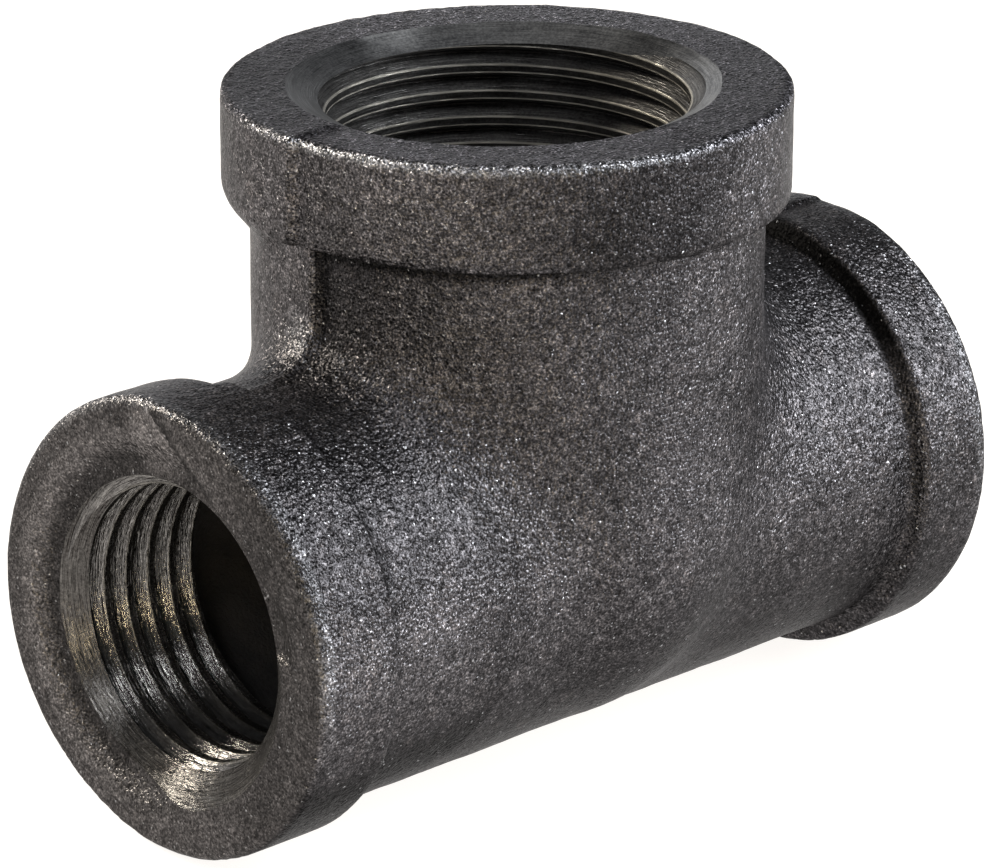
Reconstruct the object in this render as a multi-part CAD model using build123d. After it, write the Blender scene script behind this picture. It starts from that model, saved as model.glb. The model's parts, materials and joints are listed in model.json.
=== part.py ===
from build123d import *
import os

# Reducing pipe tee, one malleable iron casting. Millimetres.
# The run lies along X, and the larger branch rises from its middle along +Z.
# The origin is on the surface that the tee lies on, under the branch.

# Overall
run_face = 31.0  # branch axis to either run face
branch_face = 30.4  # run axis to the branch face

# Run: the tapped wall is the straight drilled hole that the taper tap follows
run_hole_d = 18.6
run_thread_length = 11.0
run_mouth_flare = 1.8  # chamfer at the face, measured across the radius
run_mouth_depth = 1.35
run_core_relief = 1.9  # the core stands back this far from the tapped wall
run_wall = 3.0
run_band_rise = 1.3  # the band stands this far out of the barrel
run_band_width = 6.3
run_band_corner = 0.2  # broken edge at the face
run_band_bevel = 0.4  # bevel on the band's back edge
run_band_foot = 0.15  # small slope from the band's back to the barrel

# Branch, with the same features as the run
branch_hole_d = 23.8
branch_thread_length = 12.7
branch_mouth_flare = 2.6
branch_mouth_depth = 1.2
branch_core_relief = 1.9
branch_wall = 3.2
branch_band_rise = 1.9
branch_band_width = 7.4
branch_band_corner = 0.8
branch_band_bevel = 0.6
branch_band_foot = 0.7

# Where the neck meets the barrel
crotch_radius = 3.5
belly_cover = 0.35  # the neck's round foot ends this far inside the underside of the barrel
core_slope = 0.9  # length of the slope from the core in to the tapped wall
tool_overrun = 2.0  # how far each cutting tool stands out of its face

# Sizes that follow
run_core_d = run_hole_d + 2 * run_core_relief
barrel_d = run_core_d + 2 * run_wall
run_band_d = barrel_d + 2 * run_band_rise
branch_core_d = branch_hole_d + 2 * branch_core_relief
neck_d = branch_core_d + 2 * branch_wall
branch_band_d = neck_d + 2 * branch_band_rise
belly_rise = (neck_d - barrel_d) / 2 + belly_cover  # centre of the round foot, above the run axis
axis_height = run_band_d / 2  # run axis above the surface that the tee lies on


def band(inner_d, rise, width, corner, bevel, foot):
    """A port's band, its face at z = 0, with its front corner, back bevel and foot."""
    inner_r = inner_d / 2
    outer_r = inner_r + rise
    with BuildSketch(Plane.XZ) as section:
        with BuildLine():
            Polyline(
                (0, 0),
                (outer_r - corner, 0),
                (outer_r, -corner),
                (outer_r, bevel - width),
                (outer_r - bevel, -width),
                (inner_r + foot, -width),
                (inner_r, -width - foot),
                (0, -width - foot),
                close=True,
            )
        make_face()
    return revolve(section.sketch, Axis.Z)


def port_tool(hole_d, thread_length, mouth_flare, mouth_depth, core_relief):
    """The cutter for one port, face at z = 0: mouth chamfer, tapped wall and slope out to the core."""
    hole_r = hole_d / 2
    mouth_r = hole_r + mouth_flare
    core_end = -thread_length - core_slope
    with BuildSketch(Plane.XZ) as section:
        with BuildLine():
            Polyline(
                (0, tool_overrun),
                (mouth_r, tool_overrun),
                (mouth_r, 0),
                (hole_r, -mouth_depth),
                (hole_r, -thread_length),
                (hole_r + core_relief, core_end),
                (0, core_end),
                close=True,
            )
        make_face()
    return revolve(section.sketch, Axis.Z)


def upright(diameter, height):
    """A round column along the branch axis, with a round foot, up to a height above the run axis."""
    foot_centre = Pos(0, 0, belly_rise)
    column = Cylinder(
        diameter / 2, height - belly_rise, align=(Align.CENTER, Align.CENTER, Align.MIN)
    )
    return foot_centre * column + foot_centre * Sphere(diameter / 2)


def level(diameter, half_length):
    """A round bar along the run axis."""
    return Rot(0, 90, 0) * Cylinder(diameter / 2, 2 * half_length)


def run_ends():
    """Placements of the two run faces, each with +Z out of its port."""
    return [
        Plane(origin=(side * run_face, 0, 0), x_dir=(0, 0, 1), z_dir=(side, 0, 0)).location
        for side in (-1, 1)
    ]


def branch_end():
    """Placement of the branch face."""
    return Pos(0, 0, branch_face)


def blank():
    """The solid casting: barrel and neck blended into each other, and a band on each port."""
    barrel = level(barrel_d, run_face - run_band_width)
    neck = upright(neck_d, branch_face - branch_band_width)
    body = barrel + neck
    body = fillet(new_edges(barrel, neck, combined=body), crotch_radius)
    run_band = band(
        barrel_d, run_band_rise, run_band_width, run_band_corner, run_band_bevel, run_band_foot
    )
    branch_band = band(
        neck_d,
        branch_band_rise,
        branch_band_width,
        branch_band_corner,
        branch_band_bevel,
        branch_band_foot,
    )
    for end in run_ends():
        body += end * run_band
    return body + branch_end() * branch_band


def waterway():
    """The cored space: a passage along the run, one up the branch and a round pocket where they meet."""
    along = level(run_core_d, run_face - run_thread_length - core_slope)
    return along + upright(branch_core_d, branch_face - branch_thread_length - core_slope)


def tee_casting():
    """The finished tee, standing on its run."""
    run_tool = port_tool(
        run_hole_d, run_thread_length, run_mouth_flare, run_mouth_depth, run_core_relief
    )
    branch_tool = port_tool(
        branch_hole_d,
        branch_thread_length,
        branch_mouth_flare,
        branch_mouth_depth,
        branch_core_relief,
    )
    casting = blank() - waterway()
    for end in run_ends():
        casting -= end * run_tool
    casting -= branch_end() * branch_tool
    return Pos(0, 0, axis_height) * casting


os.makedirs("parts", exist_ok=True)
export_step(tee_casting(), "parts/tee_casting.step")
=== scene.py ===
import json
import math

import bmesh
import bpy
from mathutils import Matrix, Vector


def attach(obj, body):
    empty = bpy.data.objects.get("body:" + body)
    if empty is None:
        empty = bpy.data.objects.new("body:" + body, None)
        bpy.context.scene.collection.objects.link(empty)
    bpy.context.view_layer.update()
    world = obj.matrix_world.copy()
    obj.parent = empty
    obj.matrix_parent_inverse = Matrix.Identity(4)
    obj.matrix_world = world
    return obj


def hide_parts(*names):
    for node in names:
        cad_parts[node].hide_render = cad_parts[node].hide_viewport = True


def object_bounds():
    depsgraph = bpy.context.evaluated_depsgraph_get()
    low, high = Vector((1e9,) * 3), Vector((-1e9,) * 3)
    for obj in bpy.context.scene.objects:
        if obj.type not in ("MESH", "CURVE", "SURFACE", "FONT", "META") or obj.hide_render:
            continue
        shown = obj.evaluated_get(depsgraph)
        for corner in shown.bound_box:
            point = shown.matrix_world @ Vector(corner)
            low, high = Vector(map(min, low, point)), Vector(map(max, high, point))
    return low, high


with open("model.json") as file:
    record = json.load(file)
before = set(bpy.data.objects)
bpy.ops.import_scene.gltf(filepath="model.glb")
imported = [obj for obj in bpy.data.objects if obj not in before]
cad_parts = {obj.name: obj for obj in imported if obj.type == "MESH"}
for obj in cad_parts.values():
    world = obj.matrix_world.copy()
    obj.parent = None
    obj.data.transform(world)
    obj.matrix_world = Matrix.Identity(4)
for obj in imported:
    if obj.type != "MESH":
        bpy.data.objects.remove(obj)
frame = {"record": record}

cadLow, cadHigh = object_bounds()
scene = bpy.context.scene
mm = 0.001

# the ports as the frame states them, each with its face, its axis and its drilled hole
ports = {}
for mount in frame["record"]["mounts"]:
    axis = Vector(mount["axis"])
    centre = Vector(mount["pos_m"])
    reach = max(cadLow.dot(axis), cadHigh.dot(axis))
    ports[mount["name"]] = {
        "axis": axis,
        "face": centre + axis * (reach - centre.dot(axis)),
        "holeRadius": mount["dims"]["r_mm"],
    }
axisHeight = ports["run_port_left"]["face"].z
runReach = cadHigh.x / mm
branchReach = (cadHigh.z - axisHeight) / mm
bandRadius = {"run": axisHeight / mm, "branch": cadHigh.y / mm}
boxLow = Vector((-runReach, -bandRadius["branch"], -bandRadius["run"]))
boxHigh = Vector((runReach, bandRadius["branch"], branchReach))
print("frame: run reach %.2f, branch reach %.2f, axis height %.2f mm" % (
    runReach, branchReach, axisHeight / mm,
))


class Wire:
    # one output of a node, so that sums over a surface or a space read as plain Python
    def __init__(self, socket):
        self.socket = socket
        self.tree = socket.id_data

    @staticmethod
    def node(tree, kind, settings=None, values=None, output=0):
        made = tree.nodes.new(kind)
        for name, value in (settings or {}).items():
            setattr(made, name, value)
        for key, value in (values or {}).items():
            if isinstance(value, Wire):
                tree.links.new(value.socket, made.inputs[key])
            else:
                made.inputs[key].default_value = value
        return Wire(made.outputs[output]) if len(made.outputs) else None

    def sibling(self, name):
        return Wire(self.socket.node.outputs[name])

    def math(self, operation, *others):
        values = dict(enumerate((self, *others)))
        return Wire.node(self.tree, "ShaderNodeMath", {"operation": operation}, values)

    def __add__(self, other):
        return self.math("ADD", other)

    __radd__ = __add__

    def __sub__(self, other):
        return self.math("SUBTRACT", other)

    def __rsub__(self, other):
        return self.math("MULTIPLY", -1.0).math("ADD", other)

    def __mul__(self, other):
        return self.math("MULTIPLY", other)

    __rmul__ = __mul__

    def __truediv__(self, other):
        return self.math("DIVIDE", other)

    def __rtruediv__(self, other):
        return self.math("POWER", -1.0).math("MULTIPLY", other)

    def __abs__(self):
        return self.math("ABSOLUTE")

    def __gt__(self, other):
        return self.math("GREATER_THAN", other)

    def __lt__(self, other):
        return self.math("LESS_THAN", other)


def least(a, b):
    return a.math("MINIMUM", b) if isinstance(a, Wire) else b.math("MINIMUM", a)


def most(a, b):
    return a.math("MAXIMUM", b) if isinstance(a, Wire) else b.math("MAXIMUM", a)


def root(a):
    return a.math("SQRT")


def hypot(a, b):
    return root(a * a + b * b)


def ease(value, low, high):  # 0 below low, 1 above high, and smooth between; low may be the larger
    settings = {"interpolation_type": "SMOOTHSTEP"}
    values = {"Value": value, "From Min": low, "From Max": high}
    return Wire.node(value.tree, "ShaderNodeMapRange", settings, values)


def between(a, b, share):
    return a + (b - a) * share


def roundSpot(a, b, outer, inner):  # 1 within the inner radius of zero, 0 past the outer one
    return ease(hypot(a, b), outer, inner)


def axes(vector):
    split = Wire.node(vector.tree, "ShaderNodeSeparateXYZ", None, {0: vector})
    return split, split.sibling("Y"), split.sibling("Z")


def combined(tree, x, y, z):
    return Wire.node(tree, "ShaderNodeCombineXYZ", None, {0: x, 1: y, 2: z})


def vectors(operation, a, b, output=0):
    return Wire.node(a.tree, "ShaderNodeVectorMath", {"operation": operation}, {0: a, 1: b}, output)


def scaled(vector, factor):
    values = {0: vector, "Scale": factor}
    return Wire.node(vector.tree, "ShaderNodeVectorMath", {"operation": "SCALE"}, values)


def noise(vector, scale, detail=2.0, roughness=0.5):  # swings about zero, from -1 to 1
    values = {"Vector": vector, "Scale": scale, "Detail": detail, "Roughness": roughness}
    return Wire.node(vector.tree, "ShaderNodeTexNoise", None, values) * 2.0 - 1.0


# the casting's form, in millimetres from the run axis
casting = {
    "Run Reach": runReach,
    "Branch Reach": branchReach,
    "Barrel Radius": 14.2,
    "Neck Radius": 17.0,
    "Belly Rise": 3.15,  # centre of the neck's round foot above the run axis
    "Crotch Radius": 3.5,
    "Front Blend": 9.0,  # how much wider the blend gets where the two surfaces almost agree
    "Back Blend": 1.0,
    "Run Band Radius": bandRadius["run"],
    "Run Band Width": 5.95,
    "Left Band Extra": 0.65,  # the left band is this much wider
    "Left Band Worn": 0.25,  # and this much smaller underneath
    "Right Band Drop": 0.1,
    "Right Band Extra": 0.06,
    "Run Corner": 0.65,
    "Branch Band Radius": bandRadius["branch"] - 0.1,
    "Branch Band X": -0.18,  # the band's own centre
    "Branch Band Y": -0.08,
    "Branch Band Width": 7.4,
    "Branch Slope Start": 6.95,
    "Branch Corner": 0.5,
    "Top Tilt": 0.2,  # the branch face falls this far to the back
    "Top Step": 0.15,  # and its left front quarter lies this much lower
    "Parting Plane": 0.4,  # where the two halves of the mould met, along Y
    "Mould Shift": 0.55,  # the front half of the mould stood this far in on the left
    "Face Step": 0.32,
    "Step Top Y": 0.4,  # the step in the left face starts here at the rim
    "Step Top Z": 14.6,
    "Step Slope": 1.217,
    "Face Dish": 0.85,
    "Dish Outer": 13.2,
    "Dish Inner": 10.9,
    "Knob": 0.2,  # on top of the right band, in front of the parting plane
    "Flash": 0.1,
    "Flash Half": 0.55,
    "Sag": 0.08,
    "Pebble": 0.06,
    "Skin Allowance": 0.03,
    "Grid Step": 0.42,
}


def newTree(name, values):
    # a Geometry Nodes tree whose named inputs are the given sizes
    tree = bpy.data.node_groups.new(name, "GeometryNodeTree")
    tree.interface.new_socket("Geometry", in_out="OUTPUT", socket_type="NodeSocketGeometry")
    for label, value in values.items():
        kind = {int: "NodeSocketInt", float: "NodeSocketFloat"}[type(value)]
        tree.interface.new_socket(label, in_out="INPUT", socket_type=kind).default_value = value
    entry = tree.nodes.new("NodeGroupInput")
    return tree, {label: Wire(entry.outputs[label]) for label in values}


def closeTree(tree, geometry, material, height=0.0):
    # every tree turns millimetres into metres, and ends in Realize Instances and Set Material
    values = {"Geometry": geometry, "Translation": (0.0, 0.0, height), "Scale": (mm, mm, mm)}
    placed = Wire.node(tree, "GeometryNodeTransform", None, values)
    whole = Wire.node(tree, "GeometryNodeRealizeInstances", None, {0: placed})
    values = {"Geometry": whole, "Material": material}
    dressed = Wire.node(tree, "GeometryNodeSetMaterial", None, values)
    tree.links.new(dressed.socket, tree.nodes.new("NodeGroupOutput").inputs[0])


def grow(name, tree, values):
    # runs a tree once and keeps its result as a plain mesh
    holder = bpy.data.objects.new(name + "Seed", bpy.data.meshes.new(name + "Seed"))
    scene.collection.objects.link(holder)
    modifier = holder.modifiers.new("shape", "NODES")
    modifier.node_group = tree
    for item in tree.interface.items_tree:
        if item.in_out == "INPUT":
            modifier[item.identifier] = values[item.name]
    graph = bpy.context.evaluated_depsgraph_get()
    mesh = bpy.data.meshes.new_from_object(holder.evaluated_get(graph), depsgraph=graph)
    mesh.name = name
    bpy.data.objects.remove(holder)
    return mesh


def outerCorner(a, b, radius):
    # the space inside both surfaces, its edge rounded
    p, q = most(a + radius, 0.0), most(b + radius, 0.0)
    return hypot(p, q) + least(most(a + radius, b + radius), 0.0) - radius


def innerBlend(a, b, width):
    # the space inside either surface, with a blend where they meet
    share = most(width - abs(a - b), 0.0) / width
    return least(a, b) - share * share * width * 0.25


def teeSpace(x, y, z, barrelRadius, neckRadius, rise, blendRadius, flankBlend, backBlend):
    # how far a point is outside a barrel along X and a round-footed neck up Z, with a rolling
    # blend between; turn is the cosine of the angle between the two surfaces' directions
    foot = least(z - rise, 0.0)
    toRun = hypot(y, z)
    toNeck = root(x * x + y * y + foot * foot)
    turn = (y * y + z * foot) / most(toRun * toNeck, 0.01)
    turn = least(most(turn, 0.0), 1.0)
    blend = blendRadius + between(backBlend, flankBlend, ease(y, 0.0, -7.0)) * turn
    width = blend * 4.0 * (1.0 - root((turn + 1.0) * 0.5)) + 0.02
    return innerBlend(toRun - barrelRadius, toNeck - neckRadius, width)


def skinOf(space, low, high, step):
    # the skin round a space, which is below zero inside, within the box from low to high
    counts = {}
    for label, length in zip(("X", "Y", "Z"), high - low):
        counts["Resolution " + label] = (1.0 / step * length).math("ROUND")
    values = {"Density": 0.5 - space, "Background": -2.0, "Min": low, "Max": high, **counts}
    volume = Wire.node(space.tree, "GeometryNodeVolumeCube", None, values)
    values = {"Volume": volume, "Threshold": 0.5}
    return Wire.node(space.tree, "GeometryNodeVolumeToMesh", {"resolution_mode": "GRID"}, values)


def moved(mesh, socket, value):  # socket is Offset or Position
    return Wire.node(mesh.tree, "GeometryNodeSetPosition", None, {"Geometry": mesh, socket: value})


def castingTree(material):
    tree, size = newTree("castingForm", casting)
    point = Wire.node(tree, "GeometryNodeInputPosition")
    x, y, z = axes(point)
    front = ease(y - size["Parting Plane"], 0.05, -0.05)
    left = ease(x, 1.0, -1.0)
    rightSide = 1.0 - left

    # body: the neck's front half is shifted, and a low flash runs round the parting plane
    shiftedX = x - size["Mould Shift"] * front * ease(x, 6.0, -12.0)
    body = teeSpace(
        shiftedX, y, z,
        size["Barrel Radius"], size["Neck Radius"], size["Belly Rise"],
        size["Crotch Radius"], size["Front Blend"], size["Back Blend"],
    )
    body = body - size["Flash"] * ease(abs(y - size["Parting Plane"]), size["Flash Half"], 0.0)
    cover = 1.5  # the body ends this far under each band's face
    body = most(body, abs(x) - (size["Run Reach"] - cover))
    body = most(body, z - (size["Branch Reach"] - cover))

    # branch band: square underneath in front, a long slope at the back
    toBranch = hypot(shiftedX - size["Branch Band X"], y - size["Branch Band Y"])
    rim = toBranch - (size["Branch Band Radius"] - size["Skin Allowance"])
    top = z - (size["Branch Reach"] - size["Skin Allowance"])
    top = top + ease(y, -4.0, 18.0) * size["Top Tilt"] + front * left * size["Top Step"]
    under = size["Branch Reach"] - size["Branch Band Width"] - z
    slopeUp, slopeOut, slopeLength = 2.3, 1.9, 2.983
    slope = rim * slopeUp - (z - (size["Branch Reach"] - size["Branch Slope Start"])) * slopeOut
    slope = slope * (1.0 / slopeLength)
    sloped = outerCorner(rim, slope, size["Branch Corner"])
    under = between(sloped, outerCorner(rim, under, 0.35), ease(y, 7.0, 1.5))
    branchBand = outerCorner(under, top, size["Branch Corner"])

    # run bands: a 45 degree back, and a face that steps and dishes round the mouth
    toRun = hypot(y, z + rightSide * size["Right Band Drop"]) - rightSide * size["Right Band Extra"]
    stepLine = size["Step Top Y"] - (size["Step Top Z"] - z) * size["Step Slope"]
    stepLine = ease(z, 0.0, 2.0) * stepLine
    stepWidth = between(3.0, 0.12, ease(z, -8.0, 2.0))
    farHalf = ease(y - stepLine, stepWidth * -1.0, stepWidth)
    dish = ease(toRun, size["Dish Outer"], size["Dish Inner"])
    dish = dish * between(0.1, size["Face Dish"], farHalf)
    step = farHalf * left * ease(z, 2.0, 12.0) * size["Face Step"]
    face = abs(x) - (size["Run Reach"] - size["Skin Allowance"]) + step + dish
    runRim = toRun - (size["Run Band Radius"] - size["Skin Allowance"])
    runRim = runRim + left * ease(z, -6.0, -14.0) * size["Left Band Worn"]
    runRim = runRim + rightSide * front * ease(y, -5.0, 0.0) * ease(z, 8.0, 14.0) * size["Knob"]
    bandWidth = size["Run Band Width"] + left * size["Left Band Extra"]
    bandBack = size["Run Reach"] - bandWidth - abs(x)
    square = (bandBack + runRim * 0.35) * 0.944  # the last factor makes it a true distance
    sloped = (bandBack + 0.9 + runRim) * 0.707
    runBand = outerCorner(runRim, face, size["Run Corner"])
    runBand = between(outerCorner(runBand, sloped, 0.4), outerCorner(runBand, square, 0.25), front)

    whole = innerBlend(body, branchBand, between(0.7, 0.15, front))
    whole = innerBlend(whole, runBand, 0.35)
    whole = whole + noise(point, 0.13, 1.0) * size["Sag"]
    room = Vector((1.5, 1.5, 1.5))
    skin = skinOf(whole, boxLow - room, boxHigh + room, size["Grid Step"])

    # each point is pulled on to the exact surface, pebbled, and kept inside the frame's box
    outward = Wire.node(tree, "GeometryNodeInputNormal")
    furthest = 0.12
    skin = moved(skin, "Offset", scaled(outward, least(most(0.0 - whole, -furthest), furthest)))
    lumps = noise(point, 0.75, 2.0) * 0.8 + noise(point, 0.3, 1.0) * 0.6
    skin = moved(skin, "Offset", scaled(outward, lumps * size["Pebble"]))
    held = vectors("MINIMUM", vectors("MAXIMUM", point, boxLow), boxHigh)
    skin = moved(skin, "Position", held)
    skin = Wire.node(tree, "GeometryNodeSetShadeSmooth", None, {"Geometry": skin})
    closeTree(tree, skin, material, axisHeight)
    return tree


waterway = {
    "Run Core Radius": 11.2,
    "Branch Core Radius": 13.8,
    "Run Core Reach": runReach - 11.9,
    "Branch Core Reach": branchReach - 13.6,
    "Belly Rise": 3.15,
    "Core Blend": 2.0,
    "Flank Blend": 3.0,
    "End Slope": 0.45,
    "Sand Marks": 0.12,
    "Grid Step": 0.75,
}


def waterwayTree(material):
    tree, size = newTree("waterwayForm", waterway)
    point = Wire.node(tree, "GeometryNodeInputPosition")
    x, y, z = axes(point)
    runRadius, branchRadius = size["Run Core Radius"], size["Branch Core Radius"]
    core = teeSpace(
        x, y, z, runRadius, branchRadius, size["Belly Rise"],
        size["Core Blend"], size["Flank Blend"], size["Flank Blend"],
    )
    runEnd = abs(x) - size["Run Core Reach"] + (hypot(y, z) - runRadius) * size["End Slope"]
    branchEnd = z - size["Branch Core Reach"] + (hypot(x, y) - branchRadius) * size["End Slope"]
    core = outerCorner(core, most(runEnd * 0.91, branchEnd * 0.91), 0.6)
    core = core + noise(point, 0.35, 2.0) * size["Sand Marks"]
    reach = waterway["Run Core Reach"] + 3.0
    wide = waterway["Branch Core Radius"] + 2.0
    low = Vector((-reach, -wide, -wide))
    high = Vector((reach, wide, waterway["Branch Core Reach"] + 3.0))
    closeTree(tree, skinOf(core, low, high, size["Grid Step"]), material, axisHeight)
    return tree


# the groove that a tap leaves; each port sets its own radii, turns, start and inner end
thread = {
    "Crest Radius": 9.45,  # both radii are at the port's face, and the taper takes them in
    "Root Radius": 10.45,
    "Root Flat": 0.12,
    "Pitch": 1.8143,
    "Taper": 1.0 / 32.0,  # on the radius
    "Inner End": -13.2,  # along the port's axis, with the face at zero
    "Turns": 7.6,
    "Start Turn": 0.0,
    "Steps": 800,
    "Ragged": 0.02,
    "Overcut": 0.35,  # how far the bar stands inside the crests
}
flankSlope = math.tan(math.radians(30.0))


def threadTree(material):
    tree, size = newTree("tapPath", thread)
    # a six-sided bar, bent round the port into the groove that a tap leaves
    values = {"Vertices": 6, "Side Segments": size["Steps"], "Fill Segments": 1}
    values.update({"Radius": 1.0, "Depth": 1.0})
    bar = Wire.node(tree, "GeometryNodeMeshCylinder", {"fill_type": "NGON"}, values)
    x, y, z = axes(Wire.node(tree, "GeometryNodeInputPosition"))
    corner = y.math("ARCTAN2", x) * (3.0 / math.pi) + 6.0
    corner = corner.math("ROUND").math("FLOORED_MODULO", 6.0)
    side = 1.0 - (corner > 2.5) * 2.0
    atRoot = abs(corner - 2.5) > 2.0
    atInside = abs(corner - 2.5) < 1.0
    turns = (z + 0.5) * size["Turns"]
    along = size["Inner End"] + turns * size["Pitch"]
    angle = (turns + size["Start Turn"]) * (2.0 * math.pi)
    rootRadius = size["Root Radius"] + along * size["Taper"]
    crestRadius = size["Crest Radius"] + along * size["Taper"]
    halfMouth = (rootRadius - crestRadius) * flankSlope + size["Root Flat"] * 0.5
    radius = between(crestRadius, rootRadius, atRoot) - atInside * size["Overcut"]
    along = along - side * between(halfMouth, size["Root Flat"] * 0.5, atRoot)
    ragged = noise(combined(tree, turns * 26.0, corner * 0.7, 0.0), 1.0, 2.0) * size["Ragged"]
    radius = radius + ragged
    u, v = radius * angle.math("COSINE"), radius * angle.math("SINE")
    closeTree(tree, moved(bar, "Position", combined(tree, u, v, along + ragged)), material)
    return tree


def turned(name, profile, segments, offCentre=(0.0, 0.0)):
    # a closed turned shape from (radius, place along the axis) pairs that start and end on the axis
    made = bmesh.new()
    rings = []
    for radius, along in profile:
        if radius == 0.0:
            rings.append([made.verts.new((offCentre[0] * mm, offCentre[1] * mm, along * mm))])
            continue
        ring = []
        for step in range(segments):
            angle = 2.0 * math.pi * (step + 0.5) / segments
            u = radius * math.cos(angle) + offCentre[0]
            v = radius * math.sin(angle) + offCentre[1]
            ring.append(made.verts.new(Vector((u, v, along)) * mm))
        rings.append(ring)
    for inner, outer in zip(rings, rings[1:]):
        for step in range(segments):
            after = (step + 1) % segments
            corners = [inner[step % len(inner)], inner[after % len(inner)]]
            corners += [outer[after % len(outer)], outer[step % len(outer)]]
            made.faces.new(list(dict.fromkeys(corners)))
    bmesh.ops.recalc_face_normals(made, faces=made.faces)
    mesh = bpy.data.meshes.new(name)
    made.to_mesh(mesh)
    made.free()
    return mesh


# flare: how far out of the drilled hole, and how deep below the face
cuts = {
    "run_port_left": {
        "flare": [(0.0, 2.1), (1.3, 0.85), (2.5, 0.0)], "reach": 11.0, "rootRadius": 10.45,
        "turns": 7.6, "startTurn": 0.55, "steps": 800, "offCentre": (-0.15, 0.15),
    },
    "run_port_right": {
        "flare": [(0.0, 1.75), (1.5, 0.75), (2.5, 0.0)], "reach": 11.0, "rootRadius": 10.45,
        "turns": 7.6, "startTurn": 0.9, "steps": 800, "offCentre": (0.1, 0.1),
    },
    "branch_port": {
        "flare": [(0.0, 1.2), (2.6, 0.0)], "reach": 12.7, "rootRadius": 13.05,
        "turns": 9.6, "startTurn": 0.0, "steps": 1100, "offCentre": (-0.3, 0.25),
    },
}
tapRunOut = 2.2  # how far the groove runs on past the drilled wall
drillRunOut = 1.6
drillOverrun = 3.0  # how far the drill stands out of the face
crestOut = 0.15  # the tapered crests start this far outside the frame's straight hole
drillSides, flareSides = 96, 128


def atPort(port):
    # the matrix from a tool's own frame, its axis out of the face, to the port
    w = port["axis"]
    u = Vector((0.0, 0.0, 1.0)) if abs(w.z) < 0.5 else Vector((1.0, 0.0, 0.0))
    turn = Matrix((u, w.cross(u), w)).transposed().to_4x4()
    return Matrix.Translation(port["face"]) @ turn


def newMaterial(name):
    material = bpy.data.materials.new(name)
    material.use_nodes = True
    tree = material.node_tree
    tree.nodes.clear()
    place = Wire.node(tree, "ShaderNodeTexCoord", output="Object")
    # millimetres from the run axis
    return material, vectors("ADD", scaled(place, 1.0 / mm), (0.0, 0.0, -axisHeight / mm))


def closeMaterial(point, values):
    shader = Wire.node(point.tree, "ShaderNodeBsdfPrincipled", None, values)
    Wire.node(point.tree, "ShaderNodeOutputMaterial", None, {"Surface": shader})


def tinted(share, a, b):
    values = {0: share, 6: a, 7: b}
    return Wire.node(share.tree, "ShaderNodeMix", {"data_type": "RGBA"}, values, output=2)


def cells(point, scale):
    values = {"Vector": point, "Scale": scale}
    return Wire.node(point.tree, "ShaderNodeTexVoronoi", {"feature": "F1"}, values)


def relief(height, depth):  # depth in millimetres
    values = {"Height": height, "Distance": depth * mm, "Strength": 1.0}
    return Wire.node(height.tree, "ShaderNodeBump", None, values)


skinFinish = {
    "dark": (0.043, 0.0405, 0.042, 1.0),
    "light": (0.088, 0.083, 0.087, 1.0),
    "brown": (0.087, 0.073, 0.067, 1.0),
    "portFace": (0.071, 0.066, 0.065, 1.0),
    "topFace": (0.064, 0.061, 0.067, 1.0),
    "fleck": (0.42, 0.42, 0.43, 1.0),
    # the lighter rim colour, part wear and part painted highlight
    "worn": (0.26, 0.26, 0.27, 1.0),
    "metallic": 0.9,
    "grazing": (0.5, 0.5, 0.5, 1.0),
    "roughness": 0.36,
    "grainPerMm": 3.7,
    "raggedPerMm": 1.3,
    "patchPerMm": 0.6,
    "broadPerMm": 0.12,
    "brownShare": 0.7,
    "faceShare": 0.85,  # how much of its own colour each flat face gets
    "grainContrast": 2.5,
    "clumpContrast": 0.8,
    "grainDepth": 0.15,  # millimetres
    "wornBranch": 0.75,  # how much of the lighter rim colour each rim gets, part wear and part painted highlight
    "wornRun": 0.38,
    # how dark the painted shade and the smudge make the skin
    "sootDepth": 0.85,
}
# how much lighter than the rest the skin is in each place; mouthRing is part wear and part painted
# highlight, faceFoot, faceNear, topRight, topFront, leftShoulder and leftBarrel are painted light,
# and topLeft, underside, behindSeam, leftFront, leftBand, neckMiddle and rightEnd are painted shade
toneAndPaintedLight = {
    "mouthRing": 0.5,
    "shoulder": 0.9,
    "mouthInside": -0.45,
    "faceFoot": 0.12,
    "faceNear": 0.17,
    "portFace": -0.05,
    "topRight": 0.4,
    "topFront": 0.22,
    "topLeft": -0.38,
    "leftShoulder": 0.15,
    "underside": -0.45,
    "behindSeam": -0.38,
    "leftFront": -0.4,
    "leftBand": -0.16,
    "neckMiddle": -0.18,
    "leftBarrel": 0.68,
    "rightEnd": -0.22,
}
# how dark each painted shade and the smudge get
shadeAndSmudgeShares = {"foot": 0.6, "underStep": 0.65, "smudge": 0.45, "seam": 0.85, "behindBand": 1.1}
glintCorner = (-17.4, 1.5, 16.6)  # a painted glint in the crotch, just behind the parting plane
smudgeAt = (3.8, 14.1)  # Y and Z on the left face
shoulderAt = (0.6, 12.6)
mouthRingRadius = 12.9


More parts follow.
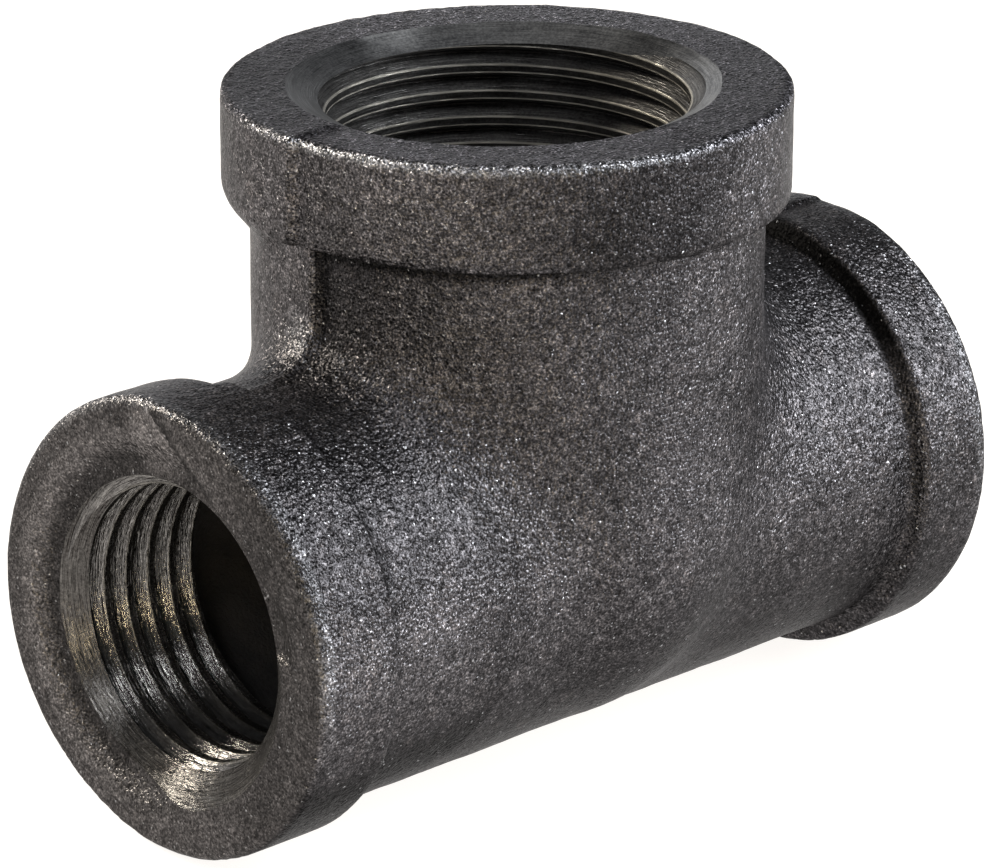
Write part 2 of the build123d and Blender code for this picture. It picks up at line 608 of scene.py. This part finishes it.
def castSkinMaterial():
    material, point = newMaterial("castSkin")
    x, y, z = axes(point)
    finish = skinFinish
    bent = vectors("ADD", point, (3.1, 7.7, 1.3))
    sand = cells(point, finish["grainPerMm"])
    pick, second, _ = axes(sand.sibling("Color"))
    fine = noise(bent, finish["grainPerMm"] * 1.75, 1.0, 0.5)
    clump = noise(bent, finish["grainPerMm"] * 0.47, 1.0, 0.5)
    patch = noise(bent, finish["patchPerMm"], 3.0, 0.6)
    broad = noise(bent, finish["broadPerMm"], 3.0, 0.55)
    ragged = noise(bent, finish["raggedPerMm"], 3.0, 0.7) * 0.35

    # the regions that the marks are laid out in
    toRun, toBranch = hypot(y, z), hypot(x, y)
    onLeft, onRight = x < 0.0, x > 0.0
    barrel, neck = casting["Barrel Radius"], casting["Neck Radius"]
    parting = casting["Parting Plane"]
    underBand = branchReach - casting["Branch Band Width"]
    rim = bandRadius["run"]
    portFace = ease(abs(x), runReach - 2.1, runReach - 1.6) * ease(toRun, rim - 0.1, rim - 0.5)
    topFace = ease(z, branchReach - 0.6, branchReach - 0.35)
    inFront = ease(y, parting + 0.06, parting - 0.02)
    onNeck = ease(toBranch, neck + 1.7, neck + 1.0) * ease(z, underBand + 0.1, underBand - 0.1)
    fromStep = y - casting["Step Top Y"] + (casting["Step Top Z"] - z) * casting["Step Slope"]
    farFace = ease(y + z * 0.3, -2.0, 2.0) * portFace

    # rims lightened as wear and as painted highlight, and a painted glint beside the crotch
    runRim = hypot(abs(x) - (runReach - 0.7), toRun - (rim - 0.15))
    branchRim = hypot(z - (branchReach - 0.4), toBranch - (bandRadius["branch"] - 0.4))
    # painted highlight and wear along the branch rim, faded on the right
    wornBranch = ease(branchRim + ragged, 0.6, 0.2) * (1.0 - ease(x - y * 0.5, 4.0, 12.0) * 0.95)
    wornBranch = wornBranch * ease(y, 8.0, 0.0) * finish["wornBranch"]
    wornRun = ease(runRim + ragged * 1.4, 0.85, 0.2) * ease(z, -7.0, 3.0) * finish["wornRun"]
    worn = most(wornBranch, wornRun)
    # painted glint: a lighter patch on the fillet just behind the parting plane
    fromCorner = vectors("DISTANCE", point, glintCorner, "Value")
    paintedGlint = ease(fromCorner + patch * 0.8, 2.3, 0.4) * ease(y, parting, parting + 0.2)

    # painted shade and shadow along the seam, under the branch band, at the run bands' feet and
    # behind the right band, darker along the step in the left face, and a smudge on the left face
    # painted shade in a strip in front of the parting plane on the neck
    seam = ease(y, parting - 1.8, parting - 0.1) * inFront * onNeck
    seam = seam * ease(x, -11.0, -14.0) * ease(z, 15.5, 19.5) * shadeAndSmudgeShares["seam"]
    # painted shadow under the branch band, thickest on the left
    thick = between(0.6, 1.8, ease(x, -3.0, -15.0))
    crease = ease(underBand - z, thick, thick * 0.35) * onNeck * inFront
    crease = crease * between(0.5, 1.0, ease(x, 7.0, -5.0))
    # painted shadow where each run band meets the barrel
    bandFoot = runReach - casting["Run Band Width"] - 0.2
    footPlace = between(bandFoot, bandFoot - casting["Left Band Extra"] - 0.6, onLeft)
    foot = ease(abs(abs(x) - footPlace), between(0.55, 1.1, onLeft), 0.1)
    foot = foot * ease(toRun, barrel + 1.0, barrel + 0.4) * ease(y, 0.0, -4.0)
    foot = foot * between(1.0, ease(z, -10.0, 1.0), onRight)
    # painted shade behind the right band's back slope, where a lamp's glint falls
    behindBand = ease(x, bandFoot - 0.9, bandFoot - 0.3) * ease(x, bandFoot + 1.3, bandFoot + 0.7)
    behindBand = behindBand * ease(toRun, barrel + 1.3, barrel + 0.9)
    behindBand = behindBand * ease(z, 5.0, 10.0) * ease(y, 9.0, 4.0)
    smudge = ease(hypot(y - smudgeAt[0], z - smudgeAt[1]) + ragged * 2.0, 2.0, 0.8)
    smudge = smudge * portFace * onLeft
    # darker along the step line in the left face
    underStep = ease(fromStep, 0.05, -0.1) * ease(fromStep, -1.3, -0.3)
    underStep = underStep * ease(z, 9.5, 11.5) * portFace
    shadeAndSmudge = most(seam, crease)
    shadowsAndSmudge = {"foot": foot, "underStep": underStep, "smudge": smudge, "behindBand": behindBand}
    for name, mask in shadowsAndSmudge.items():
        shadeAndSmudge = most(shadeAndSmudge, mask * shadeAndSmudgeShares[name])

    # painted light and shade over broad places, and lighter and darker rings on the left face
    # a lighter ring round the left mouth, part wear and part painted highlight
    mouthRing = ease(abs(toRun - mouthRingRadius), 0.9, 0.4) * farFace
    shoulder = roundSpot(y - shoulderAt[0], z - shoulderAt[1], 3.4, 1.4) * portFace
    shoulder = shoulder * ease(fromStep, -0.1, 0.2)
    # painted shade on the front left, outside the neck
    leftFront = ease(toBranch, neck + 1.3, neck + 1.8) * ease(x, 7.0, -2.0) * ease(y, -5.0, -11.0)
    # painted highlight on the left barrel at middle height
    leftBarrel = ease(x, -7.0, -19.0) * ease(z, 6.0, 1.0) * ease(z, -9.0, -4.0)
    # painted light on the port face's foot and near side, the top's right and front and the upper
    # left; painted shade on the top's left, the underside, the neck in front of the seam and the
    # right end
    places = {
        "mouthInside": ease(toRun, 12.0, 11.5) * farFace,
        "faceFoot": ease(z, -7.0, -13.0) * portFace,
        "faceNear": ease(y, -9.0, -12.0) * portFace,
        "portFace": portFace,
        "topRight": ease(x + y, 4.0, 20.0) * topFace,
        "topFront": ease(x + y, -14.0, -21.0) * topFace,
        "topLeft": ease(x - y, -12.0, -20.0) * topFace,
        "leftShoulder": ease(x, -12.0, -17.0) * ease(z, 14.0, 17.0),
        "underside": ease(z, 1.0, -9.0) * (1.0 - portFace),
        "behindSeam": inFront * ease(y, -12.0, -3.0) * ease(x, -2.0, -9.0) * onNeck,
        "leftFront": leftFront,
        "leftBand": leftFront * ease(z, 19.0, 22.0),
        "neckMiddle": onNeck * ease(x, 5.0, -5.0) * ease(y, -6.0, -12.0) * ease(z, 7.0, 12.0),
        "leftBarrel": leftBarrel * (1.0 - portFace),
        "rightEnd": ease(x, 10.0, 20.0) * ease(z, -5.0, 3.0),
    }
    tone = most(mouthRing * toneAndPaintedLight["mouthRing"], shoulder * toneAndPaintedLight["shoulder"]) + 1.0
    for name, mask in places.items():
        tone = tone + mask * toneAndPaintedLight[name]

    colour = tinted(ease(broad + patch * 0.6, -0.8, 0.9), finish["dark"], finish["light"])
    brown = ease(patch + fine * 0.5, 0.0, 1.2) * finish["brownShare"]
    colour = tinted(brown, colour, finish["brown"])
    colour = tinted(portFace * finish["faceShare"], colour, finish["portFace"])
    colour = tinted(topFace * finish["faceShare"], colour, finish["topFace"])
    colour = tinted(worn * 0.6 + paintedGlint * 0.22, colour, finish["worn"])
    colour = scaled(colour, tone)
    calm = 1.0 - portFace * 0.25
    grain = fine * finish["grainContrast"] + clump * finish["clumpContrast"] + (pick - 0.5) * 0.7
    grain = grain * (calm + topFace * 0.5) - 0.1
    colour = scaled(colour, grain.math("EXPONENT") * (1.0 - shadeAndSmudge * finish["sootDepth"]))
    # bright grains, part grain and part painted sparkle
    fleck = ease(second + fine * 0.35, 0.93, 1.08) * ease(sand, 0.5, 0.2) * calm
    colour = tinted(fleck * (0.75 - topFace * 0.4), colour, finish["fleck"])
    roughness = finish["roughness"] + patch * 0.06 + fine * 0.1 - fleck * 0.15 + behindBand * 0.3

    # each grain is a small facet with its own tilt
    inGrain = vectors("SUBTRACT", point, sand.sibling("Position"))
    tilt = vectors("ADD", sand.sibling("Color"), (-0.5, -0.5, -0.5))
    facet = vectors("DOT_PRODUCT", inGrain, tilt, "Value") * finish["grainPerMm"]
    height = facet * ease(sand, 0.75, 0.35) * 1.25 + (1.0 - sand) * 0.45 + fine * 0.15
    height = height * calm + clump * 0.3
    closeMaterial(point, {
        "Base Color": colour, "Roughness": roughness, "Metallic": finish["metallic"],
        "Specular Tint": finish["grazing"], "Normal": relief(height, finish["grainDepth"]),
    })
    return material


# near black: the core's own dark skin, darkened further as painted shade deep in the bore
coreFinish = {
    "dark": (0.01, 0.009, 0.009, 1.0),
    "light": (0.03, 0.026, 0.023, 1.0),
    "roughness": 0.75,
    "metallic": 0.3,
    "bump": 0.08,
}


def coreSkinMaterial():
    material, point = newMaterial("coreSkin")
    patch = noise(point, 0.6, 3.0, 0.6)
    fine = noise(point, 3.5, 3.0, 0.6)
    closeMaterial(point, {
        "Base Color": tinted(ease(patch, -0.8, 0.8), coreFinish["dark"], coreFinish["light"]),
        "Roughness": coreFinish["roughness"] + fine * 0.1, "Metallic": coreFinish["metallic"],
        "Normal": relief(fine, coreFinish["bump"]),
    })
    return material


# lines: tool marks in each millimetre
cutFinish = {
    "runMouth": {
        "dark": (0.02, 0.018, 0.017, 1.0), "light": (0.17, 0.162, 0.154, 1.0),
        "lines": 4.2, "roughness": 0.26, "bump": 0.08,
    },
    "branchMouth": {
        "dark": (0.095, 0.096, 0.1, 1.0), "light": (0.46, 0.458, 0.457, 1.0),
        "lines": 6.5, "roughness": 0.36, "bump": 0.04,
    },
    "tappedThread": {
        "dark": (0.06, 0.057, 0.056, 1.0), "light": (0.32, 0.31, 0.3, 1.0),
        "lines": 4.2, "roughness": 0.19, "bump": 0.09,
    },
}
cutMetallic = 0.92
linesRound = 5.0  # the larger, the shorter the tool marks
# the crests' edges: part burnish, part painted highlight
crestShine = (0.7, 0.66, 0.58, 1.0)
crestShares = {"run": 0.12, "branch": 0.6}  # how much of it the crests' edges get
mouthArc = (10.9, 11.25)  # radii between which the run mouths' upper arc darkens, a painted shadow line at the flare's edge
mouthHighlightAt = (2.8, 14.5)  # X and Y of the painted highlight on the branch's mouth


def turnedPoint(point):
    # a point as its port sees it: radius, depth from the face, direction and phase in the thread
    x, y, z = axes(point)
    upper = abs(x) < 15.5
    right = x > 0.0
    radius = between(hypot(y, z), hypot(x, y), upper)
    along = between(abs(x) - runReach, z - branchReach, upper)
    across, up = between(y, x, upper) / radius, between(z, y, upper) / radius
    angle = between(y.math("ARCTAN2", z) * (1.0 - right * 2.0), y.math("ARCTAN2", x), upper)
    found = []
    for key in ("startTurn", "reach"):
        run = between(cuts["run_port_left"][key], cuts["run_port_right"][key], right)
        found.append(between(run, cuts["branch_port"][key], upper))
    start, reach = found
    turns = (along + reach + tapRunOut) / thread["Pitch"] + start - angle * (0.5 / math.pi)
    return radius, along, across, up, upper, turns.math("FRACT")


def threadColour(colour, radius, along, upper, phase, lines):
    # painted reflection darkens the crests' flats as if they mirror the dark bore, painted shade
    # darkens the roots, the branch's threads are darker overall, and the edges are lightened, part
    # burnish and part painted highlight
    taper = along * thread["Taper"]
    hole = between(ports["run_port_left"]["holeRadius"], ports["branch_port"]["holeRadius"], upper)
    deepest = between(cuts["run_port_left"]["rootRadius"], cuts["branch_port"]["rootRadius"], upper)
    crest = hole + taper + crestOut
    depth = deepest + taper - crest
    landHalf = thread["Pitch"] * 0.5 - depth * flankSlope - thread["Root Flat"] * 0.5
    fromEdge = abs(abs(phase - 0.5) * thread["Pitch"] - landHalf)
    edge = ease(fromEdge + lines * 0.04, 0.1, 0.02) * ease(radius - crest, 0.2, 0.08)
    land = ease(radius - crest, 0.14, 0.05)
    landAndRootShade = land * between(0.55, 0.75, upper) + ease(radius - crest, 0.6, 1.0) * 0.4
    colour = scaled(colour, (1.0 - landAndRootShade) * between(1.0, 0.75, upper))
    shine = edge * between(crestShares["run"], crestShares["branch"], upper)
    return tinted(shine, colour, crestShine), land


def cutMaterial(name):
    finish = cutFinish[name]
    material, point = newMaterial(name)
    radius, along, across, up, upper, phase = turnedPoint(point)
    height = (along + radius * 1.4) * finish["lines"]
    marks = combined(point.tree, across * linesRound, up * linesRound, height)
    lines = noise(marks, 1.0, 2.0, 0.7)
    wide = noise(marks, 0.3, 2.0, 0.6)
    stain = noise(point, 0.5, 3.0, 0.6)
    speck = noise(point, 5.5, 2.0, 0.6)
    tone = ease(lines + wide * 0.4 + stain * 0.4 + speck * 0.8, -0.9, 1.1)
    colour = tinted(tone, finish["dark"], finish["light"])
    shine = finish["roughness"] + stain * 0.06 + speck * 0.05 - ease(lines, 0.0, 0.5) * 0.08
    if name == "tappedThread":
        colour, land = threadColour(colour, radius, along, upper, phase, lines)
        shine = shine + land * 0.08 + upper * 0.18
    elif name == "runMouth":
        # painted shadow along the flare's outer edge on the upper arc
        arc = ease(radius, *mouthArc) * ease(across + up, 0.2, 0.8)
        colour = scaled(colour, (1.0 - ease(wide, 0.1, 0.3) * 0.35) * (1.0 - arc * 0.6))
    elif name == "branchMouth":
        # painted highlight in one place and painted shade in others round the ring
        x, y = across * radius + stain, up * radius
        mouthHighlight = roundSpot(x - mouthHighlightAt[0], y - mouthHighlightAt[1], 3.4, 0.8)
        mouthShade = ease(x, 1.0, -1.5) * 0.42 + ease(x, -8.0, -12.5) * 0.15
        mouthShade = mouthShade + ease(x, 8.0, 11.0) * ease(abs(y), 4.0, 1.0) * 0.45
        colour = scaled(colour, 0.9 - mouthShade + mouthHighlight * 1.1)
    bump = relief((lines * 0.8 + wide * 0.3 + speck * 0.1) * (1.0 - upper * 0.65), finish["bump"])
    closeMaterial(point, {
        "Base Color": colour, "Roughness": shine, "Metallic": cutMetallic,
        "Specular Tint": skinFinish["grazing"], "Normal": bump,
    })
    return material


castSkin = castSkinMaterial()
coreSkin = coreSkinMaterial()
mouths = {"run": cutMaterial("runMouth"), "branch": cutMaterial("branchMouth")}
tappedThread = cutMaterial("tappedThread")
coats = [castSkin, coreSkin, mouths["run"], mouths["branch"], tappedThread]
print("finishes: %d materials" % len(coats))


def asTool(mesh, coat):
    # an object to cut with, whose cut faces take the given coat
    mesh.materials.clear()
    for material in coats:
        mesh.materials.append(material)
    mesh.polygons.foreach_set("material_index", [coats.index(coat)] * len(mesh.polygons))
    tool = bpy.data.objects.new(mesh.name, mesh)
    scene.collection.objects.link(tool)
    return tool


def flareProfile(hole, flare):
    # the flare's first and last slopes run on a little, into the hole and out of the face
    rings = [(hole + out, -deep) for out, deep in flare]
    (r0, a0), (r1, a1) = rings[:2]
    (r2, a2), (r3, a3) = rings[-2:]
    first = (r0 - (r1 - r0) * 0.2, a0 - (a1 - a0) * 0.2)
    last = (r3 + (r3 - r2), a3 + (a3 - a2))
    return [(0.0, first[1]), first] + rings + [last, (0.0, last[1])]


tools = [asTool(grow("waterwayTool", waterwayTree(coreSkin), waterway), coreSkin)]
tapPath = threadTree(tappedThread)
for name, port in ports.items():
    cut = cuts[name]
    hole = port["holeRadius"]
    crest = hole + crestOut
    bottom = -cut["reach"] - drillRunOut
    wall = [(crest + bottom * thread["Taper"], bottom), (crest, 0.0), (crest, drillOverrun)]
    drill = turned(name + "Drill", [(0.0, bottom)] + wall + [(0.0, drillOverrun)], drillSides)
    flare = turned(name + "Flare", flareProfile(hole, cut["flare"]), flareSides, cut["offCentre"])
    size = dict(thread)
    size.update({
        "Crest Radius": crest, "Root Radius": cut["rootRadius"], "Steps": cut["steps"],
        "Turns": cut["turns"], "Start Turn": cut["startTurn"],
        "Inner End": -cut["reach"] - tapRunOut,
    })
    groove = grow(name + "Groove", tapPath, size)
    mouthCoat = mouths["branch" if name == "branch_port" else "run"]
    for mesh, coat in ((drill, tappedThread), (groove, tappedThread), (flare, mouthCoat)):
        mesh.transform(atPort(port))
        tools.append(asTool(mesh, coat))
print("tools: %d" % len(tools))

blank = asTool(grow("teeCasting", castingTree(castSkin), casting), castSkin)
print("blank: %d faces" % len(blank.data.polygons))
for tool in tools:
    modifier = blank.modifiers.new(tool.name, "BOOLEAN")
    modifier.operation = "DIFFERENCE"
    modifier.solver = "MANIFOLD"
    modifier.object = tool
graph = bpy.context.evaluated_depsgraph_get()
mesh = bpy.data.meshes.new_from_object(blank.evaluated_get(graph), depsgraph=graph)
for spare in [blank] + tools:
    bpy.data.objects.remove(spare)
mesh.name = "teeCasting"
sharpAngle = 0.45  # radians


def setEdges(mesh):
    # smooth everywhere but where a cut meets the skin and along the thread's own corners
    made = bmesh.new()
    made.from_mesh(mesh)
    bmesh.ops.triangulate(made, faces=[face for face in made.faces if len(face.verts) > 4])
    openEdges = 0
    for edge in made.edges:
        if len(edge.link_faces) != 2:
            openEdges += 1
            continue
        one, other = edge.link_faces
        cutEdge = one.material_index != other.material_index
        machined = one.material_index > 1
        edge.smooth = not (cutEdge or machined and one.normal.angle(other.normal, 0.0) > sharpAngle)
    for face in made.faces:
        face.smooth = True
    triangles = sum(len(face.verts) - 2 for face in made.faces)
    volume = made.calc_volume(signed=True) / mm**3
    made.to_mesh(mesh)
    made.free()
    print("casting: %d triangles, %d open edges, %.0f cubic mm" % (triangles, openEdges, volume))


setEdges(mesh)
teeCasting = bpy.data.objects.new("teeCasting", mesh)
scene.collection.objects.link(teeCasting)
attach(teeCasting, "root")
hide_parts("tee_casting")

studio = {
    "floorColour": (0.22, 0.21, 0.2, 1.0),
    "floorLight": (1.0, 0.97, 0.94, 1.0),
    "floorGlow": 0.95,
    "floorHalf": 3.0,  # metres
    "floorDrop": 0.00005,
    "surround": (0.09, 0.092, 0.096, 1.0),
}


def floorMaterial():
    material, point = newMaterial("paleFloor")
    closeMaterial(point, {
        "Base Color": studio["floorColour"], "Roughness": 0.9,
        "Emission Color": studio["floorLight"], "Emission Strength": studio["floorGlow"],
    })
    return material


floorMesh = bpy.data.meshes.new("floor")
half = studio["floorHalf"]
corners = [(-half, -half), (half, -half), (half, half), (-half, half)]
floorMesh.from_pydata([(a, b, -studio["floorDrop"]) for a, b in corners], [], [(0, 1, 2, 3)])
floorMesh.materials.append(floorMaterial())
floor = bpy.data.objects.new("floor", floorMesh)
scene.collection.objects.link(floor)

world = bpy.data.worlds.new("surround")
scene.world = world
world.use_nodes = True
world.node_tree.nodes["Background"].inputs["Color"].default_value = studio["surround"]
world.node_tree.nodes["Background"].inputs["Strength"].default_value = 1.0

target = Vector((0.0, 0.0, axisHeight))


def direction(azimuth, elevation):  # azimuth 0 is in front, and -90 is the left port's side
    a, e = math.radians(azimuth), math.radians(elevation)
    return Vector((math.sin(a) * math.cos(e), -math.cos(a) * math.cos(e), math.sin(e)))


# azimuth, elevation, distance, width, height, power, colour
softboxes = {
    "rightBox": (43, 27.5, 0.36, 0.23, 0.25, 2.7, (0.92, 0.96, 1.0)),
    "leftBox": (-153, 31, 0.5, 0.1, 0.1, 2.8, (1.0, 0.93, 0.8)),
    "sideBox": (-70, 38, 0.5, 0.12, 0.1, 0.6, (0.95, 0.97, 1.0)),
    "backBox": (170, 14, 0.6, 1.2, 0.32, 1.6, (0.97, 0.98, 1.0)),
    "lowBox": (-56, 4.5, 0.5, 0.42, 0.012, 0.7, (1.0, 0.84, 0.56)),
    "topBox": (-30, 54, 0.5, 0.16, 0.16, 0.44, (0.97, 0.98, 1.0)),
}
for name, (azimuth, elevation, distance, width, height, power, colour) in softboxes.items():
    lamp = bpy.data.lights.new(name, "AREA")
    lamp.shape = "RECTANGLE"
    lamp.size, lamp.size_y = width, height
    lamp.energy = power
    lamp.color = colour
    light = bpy.data.objects.new(name, lamp)
    towards = direction(azimuth, elevation)
    light.location = target + towards * distance
    light.rotation_mode = "QUATERNION"
    light.rotation_quaternion = towards.to_track_quat("Z", "Y")
    scene.collection.objects.link(light)

shot = {
    "azimuth": -44.031, "elevation": 20.142, "roll": 0.035,
    "distance": 0.40786, "right": -0.00069, "up": 0.005329, "lens": 220.10,
}
azimuth, roll = math.radians(shot["azimuth"]), math.radians(shot["roll"])
back = direction(shot["azimuth"], shot["elevation"])
level = Vector((math.cos(azimuth), math.sin(azimuth), 0.0))
plumb = back.cross(level)
right = level * math.cos(roll) + plumb * math.sin(roll)
up = plumb * math.cos(roll) - level * math.sin(roll)
lens = bpy.data.cameras.new("camera")
lens.sensor_width = 36.0
lens.lens = shot["lens"]
lens.clip_start, lens.clip_end = 0.01, 20.0
camera = bpy.data.objects.new("camera", lens)
stand = target + back * shot["distance"] + right * shot["right"] + up * shot["up"]
camera.matrix_world = Matrix.Translation(stand) @ Matrix((right, up, back)).transposed().to_4x4()
scene.collection.objects.link(camera)
scene.camera = camera
scene.view_settings.view_transform = "Standard"
print("studio: %d softboxes" % len(softboxes))
